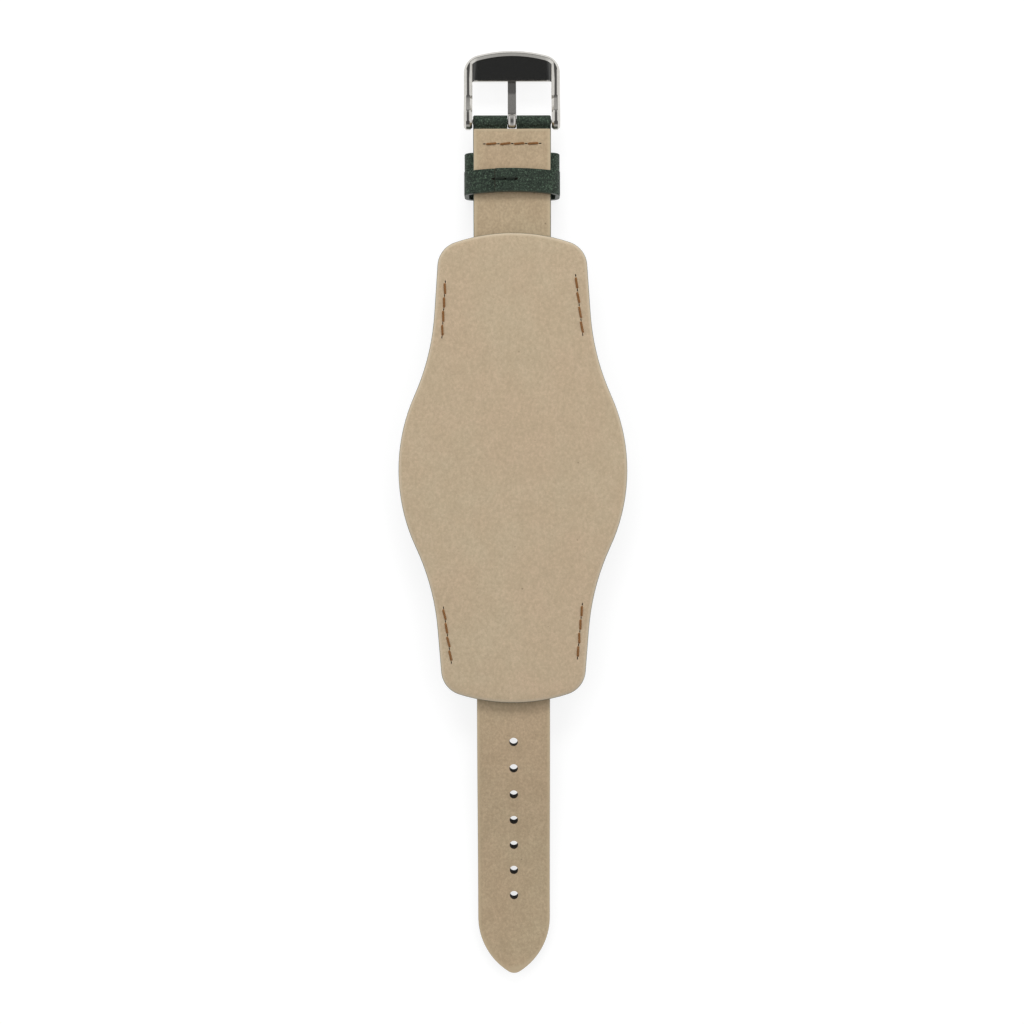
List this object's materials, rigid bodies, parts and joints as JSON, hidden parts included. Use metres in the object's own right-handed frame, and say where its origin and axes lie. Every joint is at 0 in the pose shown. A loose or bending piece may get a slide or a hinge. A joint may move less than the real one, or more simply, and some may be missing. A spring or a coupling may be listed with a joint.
{
  "type": "bund watch strap",
  "caption": "Leather bund watch strap: a bulged wrist pad with two bridges, a strap piece with keepers and a steel tang buckle, and a pointed tail with punched holes.",
  "frame": {"origin": "middle of the length and width, at the surface that the keepers and the tail's end lie on", "axes": "+Y along the strap towards the buckle, +Z out of the wrist side, +X across"},
  "size_m": [0.059, 0.242, 0.0109],
  "materials": {
    "nubuck": "beige nubuck, napped",
    "green_leather": "dark green, fine grain",
    "filler": "bonded fibre, painted edge",
    "polished_steel": "polished",
    "satin_steel": "satin"
  },
  "bodies": {
    "pad": {"pad_face": "green_leather", "pad_core": "filler", "pad_lining": "nubuck", "upper_bridge": "green_leather", "lower_bridge": "green_leather"},
    "buckle_strap": {"buckle_strap_front": "green_leather", "buckle_strap_core": "filler", "buckle_strap_lining": "nubuck", "fixed_keeper": "green_leather", "spring_bar_tube": "satin_steel", "spring_bar_spring": "satin_steel"},
    "loose_keeper": {"loose_keeper": "green_leather"},
    "buckle_frame": {"buckle_frame": "polished_steel"},
    "buckle_tang": {"buckle_tang": "satin_steel"},
    "left_pin": {"spring_bar_pin_left": "satin_steel"},
    "right_pin": {"spring_bar_pin_right": "satin_steel"},
    "tail_strap": {"tail_strap_front": "green_leather", "tail_strap_core": "filler", "tail_strap_lining": "nubuck"}
  },
  "joints": [
    {"name": "buckle_strap_slide", "type": "slide", "parent": "pad", "child": "buckle_strap", "axis": [0, 1, 0], "range_m": [-0.004, 0.008]},
    {"name": "tail_strap_slide", "type": "slide", "parent": "pad", "child": "tail_strap", "axis": [0, -1, 0], "range_m": [-0.004, 0.008]},
    {"name": "loose_keeper_slide", "type": "slide", "parent": "buckle_strap", "child": "loose_keeper", "axis": [0, -1, 0], "range_m": [0, 0.0064]},
    {"name": "buckle_frame_hinge", "type": "hinge", "parent": "buckle_strap", "child": "buckle_frame", "pos_m": [0, 0.1023, 0.0062], "axis": [1, 0, 0], "range_deg": [-45, 100]},
    {"name": "buckle_tang_hinge", "type": "hinge", "parent": "buckle_frame", "child": "buckle_tang", "pos_m": [0, 0.1023, 0.0062], "axis": [1, 0, 0], "range_deg": [-75, 0]},
    {"name": "left_pin_press", "type": "slide", "parent": "buckle_strap", "child": "left_pin", "axis": [1, 0, 0], "range_m": [0, 0.001], "stiffness_N_per_m": 300, "springref_m": -0.001, "deforming": ["spring_bar_spring"]},
    {"name": "right_pin_press", "type": "slide", "parent": "buckle_strap", "child": "right_pin", "axis": [-1, 0, 0], "range_m": [0, 0.001], "stiffness_N_per_m": 300, "springref_m": -0.001, "deforming": ["spring_bar_spring"]}
  ]
}
